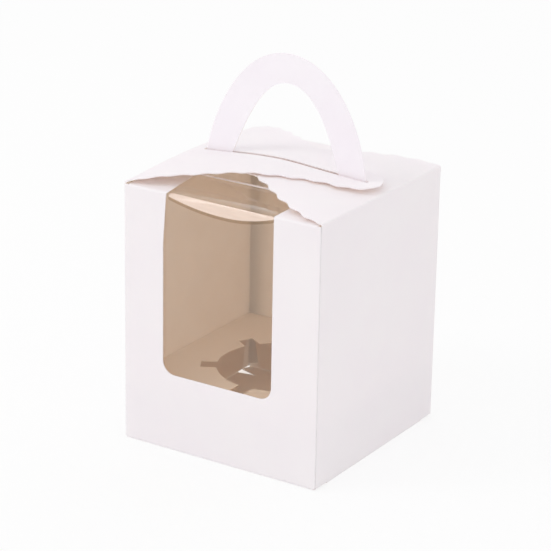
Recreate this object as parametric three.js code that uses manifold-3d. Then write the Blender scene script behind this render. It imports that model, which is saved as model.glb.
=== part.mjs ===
import * as THREE from 'three';
import { mergeVertices } from 'three/addons/utils/BufferGeometryUtils.js';
import Module from 'manifold-3d';

// A white folded card box for one cupcake, in millimetres. +Z is up, the window faces -Y,
// and the origin is on the table under the middle of the box.

// Sizes of the box
const boxWidth = 92;
const boxDepth = 92;
const boxHeight = 110;
const card = 0.45;
const creaseRadius = 0.9;
const clearance = 0.3;
const endFlapDrop = 0.9;

// Window, cut through the front wall and on over its top flap
const windowWidth = 52.4;
const windowSill = 32.8;
const windowCorner = 5.5;
const windowFlapLength = 26.5;
const windowFlapRise = 0.8;
const windowFlapRim = 2;
const filmThickness = 0.2;
const filmMargin = 6;
const filmBulge = 5.5;

// Two wing flaps that close the top
const wingEndGap = 2;
const wingRootInset = 0.4;
const upperCrown = 5.85;
const upperTip = 3.1;
const lowerCrown = 4.8;
const lowerTip = -0.2;
const upperShoulder = 2.2;
const shoulderReach = 18;
const lowerFrontSag = 0.9;
const scallopPitch = 9.7;
const scallopHeight = 0.65;
const slotEndGap = 0.9;
const slotSideGap = 0.8;

// Handle, an arch folded up from the back flap
const handleInset = 8.4;
const handleHeight = 49.4;
const handleStrip = 12.1;
const handleFoot = 3;
const handleLean = 1.2;

// Glue seam and the locked bottom
const seamWidth = 14;
const seamTaper = 5;
const layerGap = 0.12;
const floorRamp = 7;
const tongueWidth = 28;
const tongueLength = 17;

// Platform that holds the cupcake
const insertHeight = 26.5;
const holeRadius = 26.7;
const notchWidth = 6.7;
const notchDepth = 6.5;
const notchCount = 6;
const legInset = 1.4;
const legTaper = 6;

// Smoothness of the curves
const foldSteps = 4;
const holeSteps = 48;
const stepsPerScallop = 8;
const crownSteps = 26;
const rootSteps = 9;
const wingColumns = 13;
const archSteps = 22;
const bulgeColumns = 16;
const straightHalfAngle = 1.52;

const halfWidth = boxWidth / 2;
const halfDepth = boxDepth / 2;
const endCrease = boxHeight - endFlapDrop;
const endFlapHalf = halfWidth - 2;
const layerStep = card + layerGap;
const wingLength = boxWidth - wingEndGap;
const handleBase = boxWidth - 2 * handleInset;
const slotLength = handleBase + 2 * slotEndGap;
const slotWidth = card + 2 * slotSideGap;

const wasm = await Module();
wasm.setup();

// Each drawing plane has its extrusion direction last
const axisX = new THREE.Vector3(1, 0, 0);
const axisY = new THREE.Vector3(0, 1, 0);
const axisZ = new THREE.Vector3(0, 0, 1);
const planeYZ = new THREE.Matrix4().makeBasis(axisY, axisZ, axisX);
const planeXZ = new THREE.Matrix4().makeBasis(axisX, axisZ, axisY.clone().negate());
const planeXY = new THREE.Matrix4();

function solidFrom(geometry) {
  geometry.deleteAttribute('normal');
  geometry.deleteAttribute('uv');
  const merged = mergeVertices(geometry, 1e-4);
  return new wasm.Manifold(new wasm.Mesh({
    numProp: 3,
    vertProperties: new Float32Array(merged.attributes.position.array),
    triVerts: new Uint32Array(merged.index.array),
  }));
}

function meshFrom(name, solid, material) {
  const data = solid.getMesh();
  const geometry = new THREE.BufferGeometry();
  geometry.setAttribute('position', new THREE.BufferAttribute(data.vertProperties, 3));
  geometry.setIndex(new THREE.BufferAttribute(data.triVerts, 1));
  geometry.computeVertexNormals();
  const mesh = new THREE.Mesh(geometry, material);
  mesh.name = name;
  return mesh;
}

// An outline in a drawing plane, extruded evenly to both sides of that plane
function prism(outline, plane, depth, middle = 0) {
  const shape = outline instanceof THREE.Shape ? outline : new THREE.Shape(outline);
  const geometry = new THREE.ExtrudeGeometry(shape, { depth, bevelEnabled: false, curveSegments: foldSteps });
  geometry.translate(0, 0, middle - depth / 2);
  geometry.applyMatrix4(plane);
  return solidFrom(geometry);
}

function points(pairs) {
  return pairs.map(([x, y]) => new THREE.Vector2(x, y));
}

function mirrored(half) {
  const other = half.map((point) => new THREE.Vector2(-point.x, point.y));
  return half.concat(other.reverse());
}

function smoothRise(value) {
  return THREE.MathUtils.smoothstep(value, 0, 1);
}

// A path through its corners, each one rounded to the middle radius of a crease
function creased(corners) {
  const radius = creaseRadius - card / 2;
  const path = [corners[0]];
  for (let i = 1; i < corners.length - 1; i += 1) {
    const before = corners[i - 1].clone().sub(corners[i]).normalize();
    const after = corners[i + 1].clone().sub(corners[i]).normalize();
    const half = Math.acos(THREE.MathUtils.clamp(before.dot(after), -1, 1)) / 2;
    if (half > straightHalfAngle) {
      path.push(corners[i]);
      continue;
    }
    const reach = radius / Math.tan(half);
    const start = corners[i].clone().addScaledVector(before, reach);
    const end = corners[i].clone().addScaledVector(after, reach);
    const bisector = before.clone().add(after).normalize();
    const centre = corners[i].clone().addScaledVector(bisector, radius / Math.sin(half));
    const from = start.clone().sub(centre).angle();
    let turn = end.clone().sub(centre).angle() - from;
    turn -= 2 * Math.PI * Math.round(turn / (2 * Math.PI));
    for (let step = 0; step <= foldSteps; step += 1) {
      const angle = from + (turn * step) / foldSteps;
      path.push(new THREE.Vector2(Math.cos(angle), Math.sin(angle)).multiplyScalar(radius).add(centre));
    }
  }
  path.push(corners[corners.length - 1]);
  return path;
}

// The section of a sheet whose middle line is the path
function sheetSection(path, thickness = card) {
  const left = [];
  const right = [];
  path.forEach((point, i) => {
    const before = path[Math.max(i - 1, 0)];
    const after = path[Math.min(i + 1, path.length - 1)];
    const along = after.clone().sub(before).normalize();
    const own = path[Math.min(i + 1, path.length - 1)].clone().sub(path[Math.min(i, path.length - 2)]);
    const mitre = Math.max(along.dot(own.normalize()), 0.5);
    const normal = new THREE.Vector2(-along.y, along.x).multiplyScalar(thickness / 2 / mitre);
    left.push(point.clone().add(normal));
    right.push(point.clone().sub(normal));
  });
  return left.concat(right.reverse());
}

// A block from its lowest and highest corners
function block(low, high) {
  const size = high.map((value, i) => value - low[i]);
  const geometry = new THREE.BoxGeometry(...size);
  geometry.translate(...low.map((value, i) => value + size[i] / 2));
  return solidFrom(geometry);
}

function roundedRectangle(shape, halfX, halfY, radius) {
  shape.moveTo(halfX, -halfY + radius);
  shape.lineTo(halfX, halfY - radius);
  shape.absarc(halfX - radius, halfY - radius, radius, 0, Math.PI / 2);
  shape.lineTo(-halfX + radius, halfY);
  shape.absarc(-halfX + radius, halfY - radius, radius, Math.PI / 2, Math.PI);
  shape.lineTo(-halfX, -halfY + radius);
  shape.absarc(-halfX + radius, -halfY + radius, radius, Math.PI, 1.5 * Math.PI);
  shape.lineTo(halfX - radius, -halfY);
  shape.absarc(halfX - radius, -halfY + radius, radius, 1.5 * Math.PI, 2 * Math.PI);
  return shape;
}

// Four walls with creased corners, open at the top and the bottom
function walls() {
  const section = roundedRectangle(new THREE.Shape(), halfWidth, halfDepth, creaseRadius);
  const inside = new THREE.Path();
  roundedRectangle(inside, halfWidth - card, halfDepth - card, creaseRadius - card);
  section.holes.push(inside);
  const low = creaseRadius;
  const high = boxHeight - creaseRadius;
  return prism(section, planeXY, high - low, (low + high) / 2);
}

// Where an end wall turns into its flap, the wall stops lower than the side walls
function endWallRelief(side) {
  const reach = side * (halfDepth + 1);
  const inner = side * (halfDepth - 2 * card - creaseRadius);
  const low = endCrease - creaseRadius;
  return block(
    [-endFlapHalf, Math.min(reach, inner), low],
    [endFlapHalf, Math.max(reach, inner), boxHeight],
  );
}

// The hinged side ends below the crease of its own flap, so that the flap can turn
function hingedWallRelief() {
  return block(
    [-halfWidth - 1, -halfDepth - 1, boxHeight - card - clearance],
    [-halfWidth + creaseRadius + card, halfDepth + 1, boxHeight],
  );
}

// The seam flap is glued behind the back wall, at its left end
function seamFlap() {
  const outer = -halfWidth + card;
  const low = 2 * creaseRadius;
  const high = endCrease - 2 * creaseRadius;
  const outline = points([
    [outer - card / 2, low], [outer + seamWidth, low + seamTaper],
    [outer + seamWidth, high - seamTaper], [outer - card / 2, high],
  ]);
  return prism(outline, planeXZ, card, -(halfDepth - 1.5 * card));
}

// The front flap rises a little from its crease, and its end is a narrow rim behind the window
function windowFlap() {
  const wall = -halfDepth + card / 2;
  const level = endCrease - card / 2;
  const end = -halfDepth + windowFlapLength;
  const section = sheetSection(creased(points([
    [wall, endCrease - 3 * creaseRadius], [wall, level], [end, level + windowFlapRise],
  ])));
  return prism(section, planeYZ, 2 * endFlapHalf);
}

function windowOpening() {
  const half = windowWidth / 2;
  const sight = new THREE.Shape();
  sight.moveTo(half, boxHeight + windowCorner);
  sight.lineTo(-half, boxHeight + windowCorner);
  sight.lineTo(-half, windowSill + windowCorner);
  sight.absarc(-half + windowCorner, windowSill + windowCorner, windowCorner, Math.PI, 1.5 * Math.PI);
  sight.lineTo(half - windowCorner, windowSill);
  sight.absarc(half - windowCorner, windowSill + windowCorner, windowCorner, 1.5 * Math.PI, 2 * Math.PI);
  const front = prism(sight, planeXZ, 4 * card, halfDepth);
  const rim = -halfDepth + windowFlapLength - windowFlapRim;
  const top = block([-half, -halfDepth - 1, endCrease - 2 * creaseRadius], [half, rim, boxHeight + 2]);
  return front.add(top);
}

// One line of the arch, seen from the front: an upright foot, then a curve over to the other foot
function archLine(halfFoot, top, shoulder, bow) {
  const foot = boxHeight + handleFoot;
  const bottom = endCrease - 2 * card;
  const half = new THREE.CubicBezierCurve(
    new THREE.Vector2(halfFoot, foot),
    new THREE.Vector2(bow * halfFoot, foot + 0.37 * (top - foot)),
    new THREE.Vector2(shoulder * halfFoot, top),
    new THREE.Vector2(0, top),
  ).getPoints(archSteps);
  const line = mirrored(points([[halfFoot, bottom]]).concat(half.slice(0, -1)));
  line.splice(line.length / 2, 0, half[archSteps]);
  return line.map((point) => {
    const share = Math.max(point.y - foot, 0) / (top - foot);
    return new THREE.Vector2(point.x + handleLean * Math.sin((share * Math.PI) / 2), point.y);
  });
}

// The back flap lies level to the middle of the box, where the handle folds up from it
function backFlapWithHandle() {
  const wall = halfDepth - card / 2;
  const level = endCrease - card / 2;
  const top = boxHeight + handleHeight + 1;
  const section = sheetSection(creased(points([
    [wall, endCrease - 3 * creaseRadius], [wall, level], [0, level], [0, top],
  ])));
  const sheet = prism(section, planeYZ, 2 * endFlapHalf);
  const archTop = boxHeight + handleHeight;
  const outerLine = archLine(handleBase / 2, archTop, 0.61, 0.944);
  const innerLine = archLine(handleBase / 2 - handleStrip, archTop - handleStrip, 0.53, 0.82);
  const arch = prism(outerLine, planeXZ, 4 * creaseRadius)
    .subtract(prism(innerLine, planeXZ, 5 * creaseRadius));
  const flapOnly = block([-halfWidth, creaseRadius, 0], [halfWidth, halfDepth + 1, endCrease + 1]);
  return sheet.intersect(arch.add(flapOnly));
}

// A closed wing bows up: its height above the crease, against the distance from the crease
function crownLine(shares, crown, tip) {
  const line = shares.map(([along, up]) => new THREE.Vector2(along * wingLength, up * crown));
  line.push(new THREE.Vector2(wingLength + wingEndGap / 2, tip));
  return new THREE.SplineCurve(line).getPoints(crownSteps);
}

const upperShares = [[0, 0], [0.11, 0.445], [0.22, 0.75], [0.467, 1], [0.71, 0.8]];
const lowerShares = [[0, 0], [0.11, 0.31], [0.245, 0.625], [0.49, 1], [0.735, 0.81]];

// Half of a wing's edge: it narrows from the full depth to a round tongue, in scallops
function wingOutline() {
  const root = halfDepth - wingRootInset;
  const edge = new THREE.SplineCurve(points([
    [0, 1], [0.133, 0.925], [0.289, 0.765], [0.456, 0.535], [0.611, 0.385],
    [0.756, 0.275], [0.9, 0.235], [0.98, 0.13], [1, 0],
  ]).map((share) => new THREE.Vector2(share.x * wingLength, share.y * root)));
  const waves = Math.round(edge.getLength() / scallopPitch);
  const steps = waves * stepsPerScallop;
  const half = [];
  for (let i = 0; i <= steps; i += 1) {
    const share = i / steps;
    const point = edge.getPointAt(share);
    const tangent = edge.getTangentAt(share);
    const fade = smoothRise(waves * share) * smoothRise(waves * (1 - share));
    const offset = scallopHeight * fade * Math.cos(2 * Math.PI * waves * share);
    half.push(new THREE.Vector2(point.x - tangent.y * offset, point.y + tangent.x * offset));
  }
  const other = half.slice(0, -1).map((point) => new THREE.Vector2(point.x, -point.y)).reverse();
  return points([[-creaseRadius * 2, root]]).concat(half, other, points([[-creaseRadius * 2, -root]]));
}

// The slot that lets the wing pass over the handle
function handleSlot() {
  const low = [-slotLength / 2, -slotWidth / 2, boxHeight - 2];
  const high = [slotLength / 2, slotWidth / 2, boxHeight + 9];
  return block(low, high);
}

// A bent sheet cut to the wing's outline. Side is -1 for the left wing and 1 for the right.
// The path gives the wing's section at a place across the box, from its crease to its tip
function wing(side, path) {
  const grid = [];
  for (let column = 0; column <= wingColumns; column += 1) {
    const y = halfDepth * ((2 * column) / wingColumns - 1);
    grid.push(path(y).map((point) => new THREE.Vector3(point.x, y, point.y)));
  }
  if (side < 0) {
    grid.reverse();
  }
  const outline = wingOutline().map((point) => new THREE.Vector2(side * (halfWidth - point.x), point.y));
  const cut = prism(outline, planeXY, 2 * boxHeight, boxHeight);
  return gridSheet(grid, card).intersect(cut).subtract(handleSlot());
}

// The right wing is one sheet with its wall, and lies lower towards the window
function fixedWing() {
  const wall = halfWidth - card / 2;
  const level = boxHeight - card / 2;
  const crown = crownLine(lowerShares, lowerCrown, lowerTip).filter((point) => point.x > 2 * creaseRadius);
  return wing(1, (y) => {
    const front = smoothRise(-y / halfDepth);
    const line = crown.map((point) => {
      const sag = lowerFrontSag * front * Math.sin((Math.PI * point.x) / wingLength);
      return new THREE.Vector2(halfWidth - point.x, level + point.y - sag);
    });
    const foot = new THREE.Vector2(wall, boxHeight - 3 * creaseRadius);
    return creased([foot, new THREE.Vector2(wall, level), line[0]]).concat(line.slice(1));
  });
}

// The left wing is hinged: it starts in a round edge, on the axis that it turns about.
// The handle holds it up, so that in the middle it rises in a shoulder beside its crease
function hingedWing() {
  const level = boxHeight - card / 2;
  const pivot = new THREE.Vector2(-halfWidth + card / 2, level);
  const crown = crownLine(upperShares, upperCrown, upperTip);
  const rootReach = crown[2].x;
  const root = [];
  for (let step = 0; step < rootSteps; step += 1) {
    const along = rootReach * (step / rootSteps) ** 1.5;
    root.push(new THREE.Vector2(along, (crown[2].y * along) / rootReach));
  }
  const whole = root.concat(crown.slice(2));
  const sheet = wing(-1, (y) => {
    const middle = 1 - (y / halfDepth) ** 2;
    return whole.map((point) => {
      const rise = smoothRise((point.x - card) / (3 * card)) * (1 - smoothRise(point.x / shoulderReach));
      return new THREE.Vector2(pivot.x + point.x, level + point.y + upperShoulder * middle * rise);
    });
  });
  const round = new THREE.Shape().absarc(pivot.x, pivot.y, card / 2, 0, 2 * Math.PI);
  return sheet.add(prism(round, planeXZ, 2 * (halfDepth - wingRootInset)));
}

// A bottom flap: the crease stands on the table, then the card climbs to its own layer
function bottomFlap(half, layer, reach, rise = []) {
  const wall = half - card / 2;
  const height = card / 2 + layer * layerStep;
  return sheetSection(creased(points([
    [wall, 3 * creaseRadius], [wall, card / 2], [wall - floorRamp, height],
    ...(rise.length ? rise : [[reach, height]]),
  ])));
}

// Locked bottom: back flap inside, side flaps under it, front flap outermost with its tongue tucked in
function bottom() {
  const corner = halfWidth - 1;
  const relief = floorRamp + 1.5;
  const tongue = tongueWidth / 2;
  const tongueLayer = card / 2 + 3 * layerStep;
  const tuck = 7;
  const frontEnd = halfDepth - 6;
  const front = bottomFlap(halfDepth, 0, 0, [
    [tuck - 1.5, card / 2], [-tuck + 4, tongueLayer], [6 - tongueLength, tongueLayer],
  ]);
  const outlineFront = mirrored(points([
    [corner, -halfDepth - 1], [corner, -halfDepth + relief - 2], [corner - relief, -halfDepth + relief + 1],
    [0.66 * halfWidth, -halfDepth + frontEnd], [tongue, -halfDepth + frontEnd],
    [tongue, tongueLength - 8], [tongue - 4, tongueLength - 6],
  ]));
  const frontSection = front.map((point) => new THREE.Vector2(-point.x, point.y)).reverse();
  const frontPiece = prism(frontSection, planeYZ, boxWidth)
    .intersect(prism(outlineFront, planeXY, boxHeight, 0));
  const backReach = -12;
  const back = prism(bottomFlap(halfDepth, 2, backReach), planeYZ, boxWidth);
  const notch = tongue + 1.5;
  const outlineBack = mirrored(points([
    [corner, halfDepth + 1], [corner, halfDepth - relief + 2], [corner - relief, halfDepth - relief - 1],
    [0.6 * halfWidth, backReach], [notch, backReach], [notch - 3, 1.5],
  ]));
  const backPiece = back.intersect(prism(outlineBack, planeXY, boxHeight, 0));
  const sideReach = notch + 1;
  const sideRoot = halfDepth - relief - 0.5;
  const side = bottomFlap(halfWidth, 1, sideReach);
  const outlineSide = points([
    [halfWidth + 1, -sideRoot], [halfWidth + 1, sideRoot], [halfWidth - relief, sideRoot],
    [sideReach, 0.5 * sideRoot], [sideReach, -0.4 * sideRoot], [halfWidth - relief, -sideRoot],
  ]);
  const sidePiece = prism(side, planeXZ, boxDepth).intersect(prism(outlineSide, planeXY, boxHeight, 0));
  return frontPiece.add(backPiece).add(sidePiece).add(sidePiece.mirror([1, 0, 0]));
}

function carton() {
  return walls()
    .subtract(endWallRelief(-1))
    .subtract(endWallRelief(1))
    .subtract(hingedWallRelief())
    .add(seamFlap())
    .add(windowFlap())
    .subtract(windowOpening())
    .add(backFlapWithHandle())
    .add(fixedWing())
    .add(bottom());
}

// The film is glued inside the front wall and under its flap. It can't crease as sharply as card,
// so its bend is tight under the card and swells to the full bulge in the middle of the window
function windowFilm() {
  const half = windowWidth / 2 + filmMargin;
  const face = -halfDepth + card + clearance + filmThickness / 2;
  const low = windowSill - filmMargin;
  const level = endCrease - card - clearance - filmThickness / 2;
  const end = -halfDepth + windowFlapLength - 0.5;
  const slope = windowFlapRise / windowFlapLength;
  const middle = [];
  for (let column = 0; column <= bulgeColumns; column += 1) {
    const x = -half + (2 * half * column) / bulgeColumns;
    const share = Math.max(1 - (2 * x / windowWidth) ** 2, 0);
    const radius = creaseRadius + (filmBulge - creaseRadius) * share;
    const line = points([[face, low], [face, level - filmBulge - 1]]);
    for (let step = 0; step <= 2 * foldSteps; step += 1) {
      const angle = (Math.PI / 2) * (step / (2 * foldSteps));
      const back = face + radius * (1 - Math.cos(angle));
      const height = level - radius * (1 - Math.sin(angle));
      line.push(new THREE.Vector2(back, height));
    }
    line.push(new THREE.Vector2(end, level + slope * (end - face)));
    middle.push(line.map((point) => new THREE.Vector3(x, point.x, point.y)));
  }
  return gridSheet(middle, filmThickness);
}

// A closed sheet of even thickness from the grid of points on its middle surface
function gridSheet(middle, thickness) {
  const columns = middle.length;
  const rows = middle[0].length;
  const clamp = THREE.MathUtils.clamp;
  const at = (i, j) => middle[clamp(i, 0, columns - 1)][clamp(j, 0, rows - 1)];
  const vertices = [];
  for (const side of [-1, 1]) {
    for (let i = 0; i < columns; i += 1) {
      for (let j = 0; j < rows; j += 1) {
        const across = at(i + 1, j).clone().sub(at(i - 1, j));
        const after = at(i, j + 1).clone().sub(at(i, j)).normalize();
        const before = at(i, j).clone().sub(at(i, j - 1)).normalize();
        const along = after.add(before);
        const mitre = j > 0 && j < rows - 1 ? along.length() / 2 : 1;
        const offset = along.cross(across).normalize().multiplyScalar((side * thickness) / 2 / mitre);
        vertices.push(...at(i, j).clone().add(offset).toArray());
      }
    }
  }
  const inner = columns * rows;
  const index = [];
  const quad = (a, b, c, d) => index.push(a, b, c, a, c, d);
  for (let i = 0; i < columns - 1; i += 1) {
    for (let j = 0; j < rows - 1; j += 1) {
      const a = i * rows + j;
      quad(a, a + rows, a + rows + 1, a + 1);
      quad(inner + a, inner + a + 1, inner + a + rows + 1, inner + a + rows);
    }
  }
  for (let i = 0; i < columns - 1; i += 1) {
    const a = i * rows;
    const b = a + rows - 1;
    quad(a, inner + a, inner + a + rows, a + rows);
    quad(b, b + rows, inner + b + rows, inner + b);
  }
  for (let j = 0; j < rows - 1; j += 1) {
    const b = (columns - 1) * rows + j;
    quad(j, j + 1, inner + j + 1, inner + j);
    quad(b, inner + b, inner + b + 1, b + 1);
  }
  const geometry = new THREE.BufferGeometry();
  geometry.setAttribute('position', new THREE.BufferAttribute(new Float32Array(vertices), 3));
  geometry.setIndex(index);
  return solidFrom(geometry);
}

// Folded platform: a square plate with the cupcake's hole, and a leg along each side
function cupcakeInsert() {
  const halfX = halfWidth - card - clearance;
  const halfY = halfDepth - 2 * card - clearance;
  const foot = card + 2 * layerStep + clearance;
  const level = insertHeight - card / 2;
  const legs = (half) => sheetSection(creased(points([
    [-half + card / 2, foot], [-half + card / 2, level], [half - card / 2, level], [half - card / 2, foot],
  ])));
  const legOutline = (half) => mirrored(points([
    [half - legInset, insertHeight + 1], [half - legInset, insertHeight - 2 * creaseRadius],
    [half - legTaper, 0],
  ]));
  const acrossX = prism(legs(halfX), planeXZ, 2 * halfY)
    .intersect(prism(legOutline(halfY), planeYZ, boxWidth));
  const acrossY = prism(legs(halfY), planeYZ, 2 * halfX)
    .intersect(prism(legOutline(halfX), planeXZ, boxDepth));
  const opening = new THREE.CylinderGeometry(holeRadius, holeRadius, 4 * card, holeSteps);
  opening.rotateX(Math.PI / 2);
  opening.translate(0, 0, level);
  let hole = solidFrom(opening);
  for (let i = 0; i < notchCount; i += 1) {
    const notch = block(
      [0, -notchWidth / 2, level - 2 * card],
      [holeRadius + notchDepth, notchWidth / 2, level + 2 * card],
    );
    hole = hole.add(notch.rotate([0, 0, 30 + (360 * i) / notchCount]));
  }
  return acrossX.add(acrossY).subtract(hole);
}

const cardWhite = new THREE.MeshStandardMaterial({ color: 0xf2eff3, roughness: 0.55, metalness: 0 });
const insertCard = new THREE.MeshStandardMaterial({ color: 0xefeae6, roughness: 0.7, metalness: 0 });
const clearFilm = new THREE.MeshStandardMaterial({
  color: 0xe8ded2, roughness: 0.08, metalness: 0, transparent: true, opacity: 0.3,
});

const cupcakeBox = new THREE.Group();
cupcakeBox.add(meshFrom('carton', carton(), cardWhite));
cupcakeBox.add(meshFrom('top_flap', hingedWing(), cardWhite.clone()));
cupcakeBox.add(meshFrom('window_film', windowFilm(), clearFilm));
cupcakeBox.add(meshFrom('cupcake_insert', cupcakeInsert(), insertCard));

export default cupcakeBox;
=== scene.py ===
import math

import bmesh
import bpy
from mathutils import Matrix, Vector


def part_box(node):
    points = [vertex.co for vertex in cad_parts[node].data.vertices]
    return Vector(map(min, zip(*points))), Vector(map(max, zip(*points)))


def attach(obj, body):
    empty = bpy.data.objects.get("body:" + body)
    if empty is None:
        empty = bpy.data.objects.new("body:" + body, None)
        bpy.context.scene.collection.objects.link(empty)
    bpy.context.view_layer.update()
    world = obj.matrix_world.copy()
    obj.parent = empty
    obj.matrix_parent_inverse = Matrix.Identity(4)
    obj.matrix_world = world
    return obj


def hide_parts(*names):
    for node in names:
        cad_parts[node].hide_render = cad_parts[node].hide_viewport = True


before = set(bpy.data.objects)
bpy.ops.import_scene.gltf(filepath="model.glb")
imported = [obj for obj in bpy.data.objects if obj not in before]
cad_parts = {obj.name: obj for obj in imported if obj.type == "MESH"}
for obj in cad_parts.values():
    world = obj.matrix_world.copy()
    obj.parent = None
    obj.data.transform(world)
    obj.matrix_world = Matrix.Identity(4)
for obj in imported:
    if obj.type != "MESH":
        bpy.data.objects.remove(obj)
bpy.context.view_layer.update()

# Sizes in metres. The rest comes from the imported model
MM = 0.001
BOX_HEIGHT = 110 * MM

# The camera of the photograph, as fitted to the corners of the box
CAMERA_AZIMUTH = 32.51
CAMERA_ELEVATION = 20.17
CAMERA_ROLL = 1.03
CAMERA_DISTANCE = 986.65 * MM
CAMERA_LENS = 158.15
SENSOR_WIDTH = 36
CLIP_START = 0.05
CLIP_END = 20
AIM_RIGHT = -3.0 * MM
AIM_UP = 10.6 * MM

WHITE = (1, 1, 1, 1)

# Floor, just under the box. A share of its colour is plain white to the camera and to gloss
FLOOR_SIZE = 8.0
FLOOR_GAP = 0.05 * MM
FLOOR_GREY = 0.9
FLOOR_WHITE = 0.8

# Light from all round, a soft key from the front left, and enough bounces for a pale box that is
# lit through its window
WORLD_STRENGTH = 0.96
KEY_PLACE = (-0.75, -0.75, 1.1)
KEY_SIZE = 0.5
KEY_POWER = 2.6
LIGHT_BOUNCES = 32

# Card: how far from the middle of the box its inner faces look inwards, and how it is smoothed
INNER_REACH = 35 * MM
WELD = 0.001 * MM
FLAT_ANGLE = 0.4
SHARP_ANGLE = 38
FACE_WEIGHT = 100

# Card colours as sRGB values from 0 to 255, each a pair that faint mottling runs between
CARD_OUTSIDE = ((251, 247, 251), (252, 249, 252))
CARD_INSIDE = ((251, 246, 239), (253, 249, 243))
INSERT_CARD = ((250, 243, 234), (252, 246, 238))
OUTER_MOTTLE = {"Scale": 55, "Detail": 4}
INNER_MOTTLE = {"Scale": 140, "Detail": 5}
MOTTLE_RANGE = (0.35, 0.65)

# Card surface: the fine fibres that vary its gloss and height, and the light it lets through
CARD_ROUGHNESS = 0.5
CARD_BUMP = 0.25
INSERT_ROUGHNESS = 0.65
INSERT_BUMP = 0.4
CARD_SPECULAR = 0.3
CARD_GLOW = 0.15
FIBRES = {"Scale": 2600, "Detail": 3}
FIBRE_HEIGHT = 0.02 * MM
GLOSS_SMOOTHER = 0.05
GLOSS_ROUGHER = 0.07

# Small corrections of the card. The window lies a little to the left, its left edge leans in above
# a certain height and out again on the flap, its rim is narrower, and the corners are scored
WINDOW_LEFT_SHIFT = -0.9 * MM
WINDOW_RIGHT_SHIFT = -1.6 * MM
WINDOW_REGION = ((-27 * MM, -47 * MM, 30 * MM), (27 * MM, -21 * MM, 109.9 * MM))
WINDOW_MIDDLE = 15 * MM
WINDOW_LEAN = 1.5 * MM
WINDOW_LEAN_START = 88 * MM
WINDOW_FLAP_START = 109 * MM
WINDOW_SPLAY = 0.15
WINDOW_SPLAY_START = -42 * MM
WINDOW_RIM_FRONT = -24 * MM
WINDOW_RIM_SHIFT = 1.2 * MM
SCORE_DEPTH = 0.2 * MM
SCORE_PLACE = 45.736 * MM
SCORE_REACH = 0.01 * MM

# Film: its sheet, from the front wall over the fold of the window and back under the flap
FILM_THICKNESS = 0.15 * MM
FILM_COLUMNS = 72
FILM_WALL_ROWS = 22
FILM_FACET_ROWS = 7
FILM_TOP_ROWS = 24
FILM_SHARP_ANGLE = 40
FILM_WALL_BOW = 0.3 * MM
FILM_TOP_RISE = 0.78 * MM

# Film: the lens-shaped facet that it is forced into at the fold. The film has two rows of its own
# just below the facet, at the shade heights, and the row next to the facet gets a darker tint as
# painted shade. The film swells to a ridge just behind the facet
FILM_SHADE_HEIGHTS = (2.6 * MM, 1.3 * MM)
FILM_LENS = (-25.3 * MM, 24.2 * MM)
FILM_LENS_END = 0.8 * MM
FILM_LENS_LOW = 4.4 * MM
FILM_LENS_ENDS = 1.0 * MM
FILM_LENS_MIDDLE = 2 * MM
FILM_LENS_REACH_LEFT = 26 * MM
FILM_LENS_REACH_RIGHT = 21 * MM
FILM_LEAN_LEFT = 2.2 * MM
FILM_LEAN_RIGHT = 0.9 * MM
FILM_TIGHT = 0.5 * MM
FILM_FACET_BELLY = 0.2 * MM
FILM_RIDGE = 0.62 * MM
FILM_RIDGE_DEPTH = 0.4
FILM_RIDGE_LEAN = 0.7

# Film look. Its tint acts twice, at the sheet's two surfaces. A white diffuse veil, in streaks
# across the window, paints the highlight on the facet and whitens the clear film faintly
FILM_TINT = (0.977, 0.951, 0.918, 1)
# Darker tint for the film row just below the facet: painted shade
FILM_PAINTED_SHADE_TINT = (0.85, 0.785, 0.7, 1)
FILM_REFLECTANCE = 0.028
FILM_GRAZING = 5
FILM_ROUGHNESS = 0.05
FILM_RIPPLE_SCALE = 18
FILM_RIPPLE = {"Strength": 0.12, "Distance": 0.5 * MM}
FILM_CLEAR_HAZE = 0.03
# The facet's strong white veil is a painted highlight
FILM_FACET_PAINTED_HIGHLIGHT = 0.74
FILM_HAZE_AND_HIGHLIGHT_RANGE = (0.85, 1.1)
FILM_HAZE_AND_HIGHLIGHT_COLOUR = (247, 228, 214)
FILM_STREAK_SCALE = 900
FILM_STREAK_STRETCH = (0.12, 1, 1)


def make_camera():
    azimuth = math.radians(CAMERA_AZIMUTH)
    elevation = math.radians(CAMERA_ELEVATION)
    back = Vector((
        math.sin(azimuth) * math.cos(elevation),
        -math.cos(azimuth) * math.cos(elevation),
        math.sin(elevation),
    ))
    right = (-back).cross(Vector((0, 0, 1))).normalized()
    up = right.cross(-back)
    target = Vector((0, 0, BOX_HEIGHT / 2)) + right * AIM_RIGHT + up * AIM_UP
    data = bpy.data.cameras.new("photo_camera")
    data.lens = CAMERA_LENS
    data.sensor_width = SENSOR_WIDTH
    data.clip_start = CLIP_START
    data.clip_end = CLIP_END
    camera = bpy.data.objects.new("photo_camera", data)
    bpy.context.scene.collection.objects.link(camera)
    axes = Matrix((right, up, back)).transposed()
    roll = Matrix.Rotation(math.radians(CAMERA_ROLL), 3, back)
    place = Matrix.Translation(target + back * CAMERA_DISTANCE)
    camera.matrix_world = place @ (roll @ axes).to_4x4()
    bpy.context.scene.camera = camera


class Nodes:
    """The node tree of a material or of the world, empty but for its output"""

    def __init__(self, owner, output):
        owner.use_nodes = True
        self.tree = owner.node_tree
        self.tree.nodes.clear()
        self.output = self.add(output)

    def add(self, kind, inputs=None, **settings):
        node = self.tree.nodes.new(kind)
        for name, value in settings.items():
            setattr(node, name, value)
        for socket, value in (inputs or {}).items():
            node.inputs[socket].default_value = value
        return node

    def link(self, source, target):
        self.tree.links.new(source, target)


def new_material(name):
    material = bpy.data.materials.new(name)
    return material, Nodes(material, "ShaderNodeOutputMaterial")


def linear(red, green, blue):
    """A colour from its sRGB values of 0 to 255"""
    def channel(value):
        share = value / 255
        return share / 12.92 if share <= 0.04045 else ((share + 0.055) / 1.055) ** 2.4
    return (channel(red), channel(green), channel(blue), 1)


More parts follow.
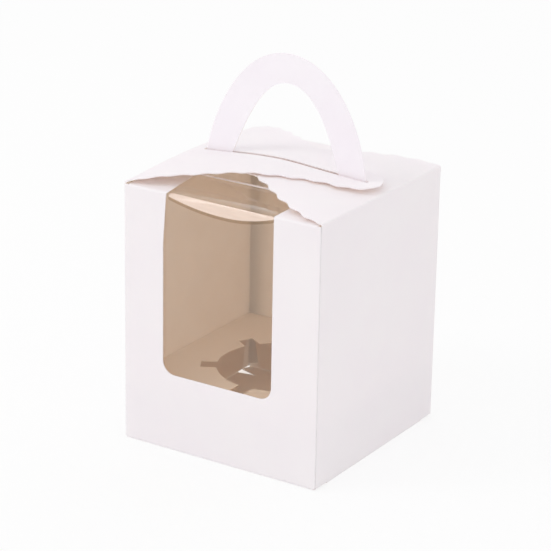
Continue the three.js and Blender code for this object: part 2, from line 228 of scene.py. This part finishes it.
def inner_mask(nodes):
    """1 on the faces that look into the box, 0 on its outside, on the handle and on cut edges"""
    place = nodes.add("ShaderNodeTexCoord")
    middle = nodes.add(
        "ShaderNodeVectorMath", {1: (0, 0, BOX_HEIGHT / 2)}, operation="SUBTRACT")
    facing = nodes.add("ShaderNodeVectorMath", operation="DOT_PRODUCT")
    inside = nodes.add("ShaderNodeMath", {1: -INNER_REACH}, operation="LESS_THAN")
    nodes.link(place.outputs["Object"], middle.inputs[0])
    nodes.link(middle.outputs["Vector"], facing.inputs[0])
    nodes.link(place.outputs["Normal"], facing.inputs[1])
    nodes.link(facing.outputs["Value"], inside.inputs[0])
    return inside.outputs["Value"]


def mottled(nodes, mottle, colours):
    """Two colours mottled by noise in object space"""
    place = nodes.add("ShaderNodeTexCoord")
    noise = nodes.add("ShaderNodeTexNoise", mottle)
    ramp = nodes.add("ShaderNodeValToRGB")
    for element, position, colour in zip(ramp.color_ramp.elements, MOTTLE_RANGE, colours):
        element.position = position
        element.color = linear(*colour)
    nodes.link(place.outputs["Object"], noise.inputs["Vector"])
    nodes.link(noise.outputs["Fac"], ramp.inputs["Fac"])
    return ramp.outputs["Color"]


def card_material(name, outside, inside, roughness, fibre_bump):
    """Card in one colour outside and one inside, which lets a little light through"""
    material, nodes = new_material(name)
    # Inputs 6 and 7 of the Mix node are its two colours, and output 2 is the mixed one
    colour = nodes.add("ShaderNodeMix", data_type="RGBA")
    nodes.link(inner_mask(nodes), colour.inputs[0])
    nodes.link(mottled(nodes, OUTER_MOTTLE, outside), colour.inputs[6])
    nodes.link(mottled(nodes, INNER_MOTTLE, inside), colour.inputs[7])

    place = nodes.add("ShaderNodeTexCoord")
    fibre = nodes.add("ShaderNodeTexNoise", FIBRES)
    gloss = nodes.add("ShaderNodeMapRange", {
        "To Min": roughness - GLOSS_SMOOTHER,
        "To Max": roughness + GLOSS_ROUGHER,
    })
    bump = nodes.add("ShaderNodeBump", {"Strength": fibre_bump, "Distance": FIBRE_HEIGHT})
    nodes.link(place.outputs["Object"], fibre.inputs["Vector"])
    nodes.link(fibre.outputs["Fac"], gloss.inputs["Value"])
    nodes.link(fibre.outputs["Fac"], bump.inputs["Height"])

    shader = nodes.add("ShaderNodeBsdfPrincipled", {"Specular IOR Level": CARD_SPECULAR})
    through = nodes.add("ShaderNodeBsdfTranslucent")
    mix = nodes.add("ShaderNodeMixShader", {"Fac": CARD_GLOW})
    nodes.link(colour.outputs[2], shader.inputs["Base Color"])
    nodes.link(colour.outputs[2], through.inputs["Color"])
    nodes.link(gloss.outputs["Result"], shader.inputs["Roughness"])
    nodes.link(bump.outputs["Normal"], shader.inputs["Normal"])
    nodes.link(shader.outputs["BSDF"], mix.inputs[1])
    nodes.link(through.outputs["BSDF"], mix.inputs[2])
    nodes.link(mix.outputs["Shader"], nodes.output.inputs["Surface"])
    return material


def film_haze_and_highlight(nodes, tint, haze_and_highlight):
    """The film's own tint, whitened by a diffuse veil in streaks: faintly on clear film, and as a
    painted highlight on the facet
    """
    least, most = FILM_HAZE_AND_HIGHLIGHT_RANGE
    place = nodes.add("ShaderNodeTexCoord")
    stretch = nodes.add("ShaderNodeMapping", {"Scale": FILM_STREAK_STRETCH})
    streak = nodes.add("ShaderNodeTexNoise", {"Scale": FILM_STREAK_SCALE})
    amount = nodes.add("ShaderNodeMapRange", {"To Min": haze_and_highlight * least, "To Max": haze_and_highlight * most})
    clear = nodes.add("ShaderNodeBsdfTransparent", {"Color": tint})
    # The white veil: faint on clear film, a painted highlight on the facet
    veil = nodes.add("ShaderNodeBsdfDiffuse", {"Color": linear(*FILM_HAZE_AND_HIGHLIGHT_COLOUR)})
    mix = nodes.add("ShaderNodeMixShader")
    nodes.link(place.outputs["Object"], stretch.inputs["Vector"])
    nodes.link(stretch.outputs["Vector"], streak.inputs["Vector"])
    nodes.link(streak.outputs["Fac"], amount.inputs["Value"])
    nodes.link(amount.outputs["Result"], mix.inputs["Fac"])
    nodes.link(clear.outputs["BSDF"], mix.inputs[1])
    nodes.link(veil.outputs["BSDF"], mix.inputs[2])
    return mix.outputs["Shader"]


def film_material(name, tint, haze_and_highlight):
    """Clear polyester film with a warm tint, and a gloss that grows towards grazing views"""
    material, nodes = new_material(name)
    place = nodes.add("ShaderNodeTexCoord")
    ripple = nodes.add("ShaderNodeTexNoise", {"Scale": FILM_RIPPLE_SCALE})
    bump = nodes.add("ShaderNodeBump", FILM_RIPPLE)
    nodes.link(place.outputs["Object"], ripple.inputs["Vector"])
    nodes.link(ripple.outputs["Fac"], bump.inputs["Height"])

    edge = nodes.add("ShaderNodeLayerWeight")
    grazing = nodes.add("ShaderNodeMath", {1: FILM_GRAZING}, operation="POWER")
    shine = nodes.add("ShaderNodeMapRange", {"To Min": FILM_REFLECTANCE, "To Max": 1})
    nodes.link(bump.outputs["Normal"], edge.inputs["Normal"])
    nodes.link(edge.outputs["Facing"], grazing.inputs[0])
    nodes.link(grazing.outputs["Value"], shine.inputs["Value"])

    gloss = nodes.add("ShaderNodeBsdfGlossy", {"Roughness": FILM_ROUGHNESS, "Color": WHITE})
    mix = nodes.add("ShaderNodeMixShader")
    nodes.link(bump.outputs["Normal"], gloss.inputs["Normal"])
    nodes.link(shine.outputs["Result"], mix.inputs["Fac"])
    nodes.link(film_haze_and_highlight(nodes, tint, haze_and_highlight), mix.inputs[1])
    nodes.link(gloss.outputs["BSDF"], mix.inputs[2])
    nodes.link(mix.outputs["Shader"], nodes.output.inputs["Surface"])
    return material


def link_piece(name, mesh, body, replaced):
    piece = bpy.data.objects.new(name, mesh)
    bpy.context.scene.collection.objects.link(piece)
    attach(piece, body)
    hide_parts(replaced)
    return piece


def shift_window(mesh):
    """Bring the window's edges to where the photograph has them"""
    parts = mesh.verts[:] + mesh.edges[:] + mesh.faces[:]
    bmesh.ops.bisect_plane(
        mesh, geom=parts, plane_co=(0, 0, WINDOW_LEAN_START), plane_no=(0, 0, 1))
    low, high = WINDOW_REGION
    for vertex in mesh.verts:
        place = vertex.co
        if not all(low[i] < place[i] < high[i] for i in range(3)):
            continue
        if place.y > WINDOW_RIM_FRONT:
            place.y += WINDOW_RIM_SHIFT
        if place.x < -WINDOW_MIDDLE:
            height = max(place.z - WINDOW_LEAN_START, 0) / (BOX_HEIGHT - WINDOW_LEAN_START)
            place.x += WINDOW_LEFT_SHIFT + WINDOW_LEAN * height
            if place.z > WINDOW_FLAP_START:
                place.x -= WINDOW_SPLAY * (place.y - WINDOW_SPLAY_START)
        elif place.x > WINDOW_MIDDLE:
            place.x += WINDOW_RIGHT_SHIFT


def score_corners(mesh):
    """The scored line down the middle of each corner of the walls"""
    for vertex in mesh.verts:
        place = vertex.co
        if all(abs(abs(place[i]) - SCORE_PLACE) < SCORE_REACH for i in range(2)):
            for i in range(2):
                place[i] -= math.copysign(SCORE_DEPTH / math.sqrt(2), place[i])


def finished_card(node, body, material, corrections=()):
    """The node's own card with its creases and bows smoothed, and its cut edges kept crisp"""
    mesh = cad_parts[node].data.copy()
    work = bmesh.new()
    work.from_mesh(mesh)
    for correct in corrections:
        correct(work)
    bmesh.ops.remove_doubles(work, verts=work.verts, dist=WELD)
    bmesh.ops.dissolve_limit(
        work, angle_limit=math.radians(FLAT_ANGLE), verts=work.verts, edges=work.edges,
        use_dissolve_boundaries=False,
    )
    work.to_mesh(mesh)
    work.free()
    mesh.shade_smooth()
    mesh.set_sharp_from_angle(angle=math.radians(SHARP_ANGLE))
    mesh.materials.clear()
    mesh.materials.append(material)
    piece = link_piece(node + "_card", mesh, body, node)
    weighted = piece.modifiers.new("even_normals", "WEIGHTED_NORMAL")
    weighted.keep_sharp = True
    weighted.weight = FACE_WEIGHT


def sheet_mesh(name, grid, thickness):
    """A closed sheet of even thickness round a grid of points on its middle surface"""
    columns = len(grid)
    rows = len(grid[0])
    verts = []
    for side in (-1, 1):
        for i in range(columns):
            for j in range(rows):
                across = grid[min(i + 1, columns - 1)][j] - grid[max(i - 1, 0)][j]
                along = grid[i][min(j + 1, rows - 1)] - grid[i][max(j - 1, 0)]
                normal = along.cross(across).normalized()
                verts.append(grid[i][j] + normal * side * thickness / 2)
    far = columns * rows
    faces = []
    for i in range(columns - 1):
        for j in range(rows - 1):
            a = i * rows + j
            faces.append((a, a + rows, a + rows + 1, a + 1))
            faces.append((far + a, far + a + 1, far + a + rows + 1, far + a + rows))
    for i in range(columns - 1):
        a = i * rows
        b = a + rows - 1
        faces.append((a, far + a, far + a + rows, a + rows))
        faces.append((b, b + rows, far + b + rows, far + b))
    for j in range(rows - 1):
        b = (columns - 1) * rows + j
        faces.append((j, j + 1, far + j + 1, far + j))
        faces.append((b, far + b, far + b + 1, b + 1))
    mesh = bpy.data.meshes.new(name)
    mesh.from_pydata(verts, [], faces)
    mesh.shade_smooth()
    mesh.set_sharp_from_angle(angle=math.radians(FILM_SHARP_ANGLE))
    return mesh


def film_lens(x):
    """Where a place lies across the facet, whether it is inside, and the facet's drop and lean"""
    left, right = FILM_LENS
    across = min(max((x - left) / (right - left), 0), 1)
    inside = min(max(min(x - left, right - x) / FILM_LENS_END, 0), 1)
    reach = FILM_LENS_REACH_LEFT if x < FILM_LENS_MIDDLE else FILM_LENS_REACH_RIGHT
    curve = min(((x - FILM_LENS_MIDDLE) / reach) ** 2, 1)
    drop = FILM_LENS_LOW - (FILM_LENS_LOW - FILM_LENS_ENDS) * curve
    lean = FILM_LEAN_LEFT + (FILM_LEAN_RIGHT - FILM_LEAN_LEFT) * across
    drop = FILM_TIGHT + (drop - FILM_TIGHT) * inside
    lean = FILM_TIGHT + (lean - FILM_TIGHT) * inside
    return across, inside, drop, lean


def film_line(x, low, high):
    """The film's section at a place across the window: up the wall, over the facet and back"""
    across, inside, drop, lean = film_lens(x)
    bulge = math.sin(math.pi * across)
    face = low.y + FILM_THICKNESS / 2
    level = high.z - FILM_TOP_RISE - FILM_THICKNESS / 2
    wall = level - drop - low.z
    heights = [low.z + wall * row / FILM_WALL_ROWS for row in range(FILM_WALL_ROWS - 1)]
    heights += [level - drop - below for below in FILM_SHADE_HEIGHTS]
    line = []
    for height in heights:
        bow = FILM_WALL_BOW * bulge * math.sin(math.pi * (height - low.z) / wall)
        line.append(Vector((x, face + bow, height)))
    for row in range(FILM_FACET_ROWS):
        up = row / (FILM_FACET_ROWS - 1)
        belly = FILM_FACET_BELLY * inside * math.sin(math.pi * up)
        line.append(Vector((x, face + lean * up - belly, level - drop * (1 - up) + belly)))
    depth = high.y - face - lean
    for row in range(1, FILM_TOP_ROWS + 1):
        back = row / FILM_TOP_ROWS
        swell = math.sin(math.pi * min(back / FILM_RIDGE_DEPTH, 1) ** FILM_RIDGE_LEAN)
        height = level + FILM_TOP_RISE * back + FILM_RIDGE * inside * swell
        line.append(Vector((x, face + lean + depth * back, height)))
    return line


def make_film():
    low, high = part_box("window_film")
    grid = []
    for column in range(FILM_COLUMNS + 1):
        grid.append(film_line(low.x + (high.x - low.x) * column / FILM_COLUMNS, low, high))
    mesh = sheet_mesh("window_film_sheet", grid, FILM_THICKNESS)
    mesh.materials.append(film_material("clear_film", FILM_TINT, FILM_CLEAR_HAZE))
    # The creased facet gets a strong white veil that paints its highlight
    mesh.materials.append(film_material("film_painted_highlight", FILM_TINT, FILM_FACET_PAINTED_HIGHLIGHT))
    # The third film material paints the shade band just below the facet with a darker tint
    mesh.materials.append(film_material("film_painted_shade", FILM_PAINTED_SHADE_TINT, FILM_CLEAR_HAZE))
    painted_highlight = 1
    painted_shade = 2
    rows = len(grid[0])
    first = FILM_WALL_ROWS + len(FILM_SHADE_HEIGHTS) - 1
    last = first + FILM_FACET_ROWS - 1
    left, right = FILM_LENS
    for polygon in mesh.polygons:
        places = [vertex % rows for vertex in polygon.vertices]
        if not left < polygon.center.x < right:
            continue
        # The facet's polygons get the painted highlight
        if min(places) >= first and max(places) <= last:
            polygon.material_index = painted_highlight
        # The row just below the facet gets the painted shade
        elif min(places) == first - 1:
            polygon.material_index = painted_shade
    link_piece("window_film_sheet", mesh, "box", "window_film")


def seen_directly(nodes):
    """1 for what the camera or a reflection sees, and 0 for what lights the box"""
    path = nodes.add("ShaderNodeLightPath")
    seen = nodes.add("ShaderNodeMath", operation="MAXIMUM")
    nodes.link(path.outputs["Is Camera Ray"], seen.inputs[0])
    nodes.link(path.outputs["Is Glossy Ray"], seen.inputs[1])
    return seen.outputs["Value"]


def make_floor():
    half = FLOOR_SIZE / 2
    corners = [(-half, -half, 0), (half, -half, 0), (half, half, 0), (-half, half, 0)]
    mesh = bpy.data.meshes.new("floor")
    mesh.from_pydata(corners, [], [(0, 1, 2, 3)])
    floor = bpy.data.objects.new("floor", mesh)
    floor.location.z = -FLOOR_GAP
    bpy.context.scene.collection.objects.link(floor)
    material, nodes = new_material("floor_white")
    grey = (FLOOR_GREY, FLOOR_GREY, FLOOR_GREY, 1)
    paint = nodes.add("ShaderNodeBsdfDiffuse", {"Color": grey})
    white = nodes.add("ShaderNodeEmission")
    share = nodes.add("ShaderNodeMath", {1: FLOOR_WHITE}, operation="MULTIPLY")
    mix = nodes.add("ShaderNodeMixShader")
    nodes.link(seen_directly(nodes), share.inputs[0])
    nodes.link(share.outputs["Value"], mix.inputs["Fac"])
    nodes.link(paint.outputs["BSDF"], mix.inputs[1])
    nodes.link(white.outputs["Emission"], mix.inputs[2])
    nodes.link(mix.outputs["Shader"], nodes.output.inputs["Surface"])
    floor.data.materials.append(material)


def make_world():
    """Plain white to the camera, to gloss and through the film, and a soft white light otherwise"""
    world = bpy.data.worlds.new("studio")
    bpy.context.scene.world = world
    nodes = Nodes(world, "ShaderNodeOutputWorld")
    soft = nodes.add("ShaderNodeBackground", {"Color": WHITE, "Strength": WORLD_STRENGTH})
    white = nodes.add("ShaderNodeBackground", {"Color": WHITE})
    mix = nodes.add("ShaderNodeMixShader")
    nodes.link(seen_directly(nodes), mix.inputs["Fac"])
    nodes.link(soft.outputs["Background"], mix.inputs[1])
    nodes.link(white.outputs["Background"], mix.inputs[2])
    nodes.link(mix.outputs["Shader"], nodes.output.inputs["Surface"])


def make_key_light():
    data = bpy.data.lights.new("key", "AREA")
    data.shape = "DISK"
    data.size = KEY_SIZE
    data.energy = KEY_POWER
    light = bpy.data.objects.new("key", data)
    light.location = KEY_PLACE
    aim = Vector((0, 0, BOX_HEIGHT / 2)) - Vector(KEY_PLACE)
    light.rotation_euler = aim.to_track_quat("-Z", "Y").to_euler()
    bpy.context.scene.collection.objects.link(light)


white_card = card_material("white_card", CARD_OUTSIDE, CARD_INSIDE, CARD_ROUGHNESS, CARD_BUMP)
insert_card = card_material(
    "insert_card", INSERT_CARD, INSERT_CARD, INSERT_ROUGHNESS, INSERT_BUMP)
finished_card("carton", "box", white_card, (shift_window, score_corners))
finished_card("top_flap", "flap", white_card)
finished_card("cupcake_insert", "box", insert_card)
make_film()
make_camera()
make_floor()
make_world()
make_key_light()

bpy.context.scene.view_settings.view_transform = "Standard"
bpy.context.scene.cycles.diffuse_bounces = LIGHT_BOUNCES
bpy.context.scene.cycles.max_bounces = LIGHT_BOUNCES
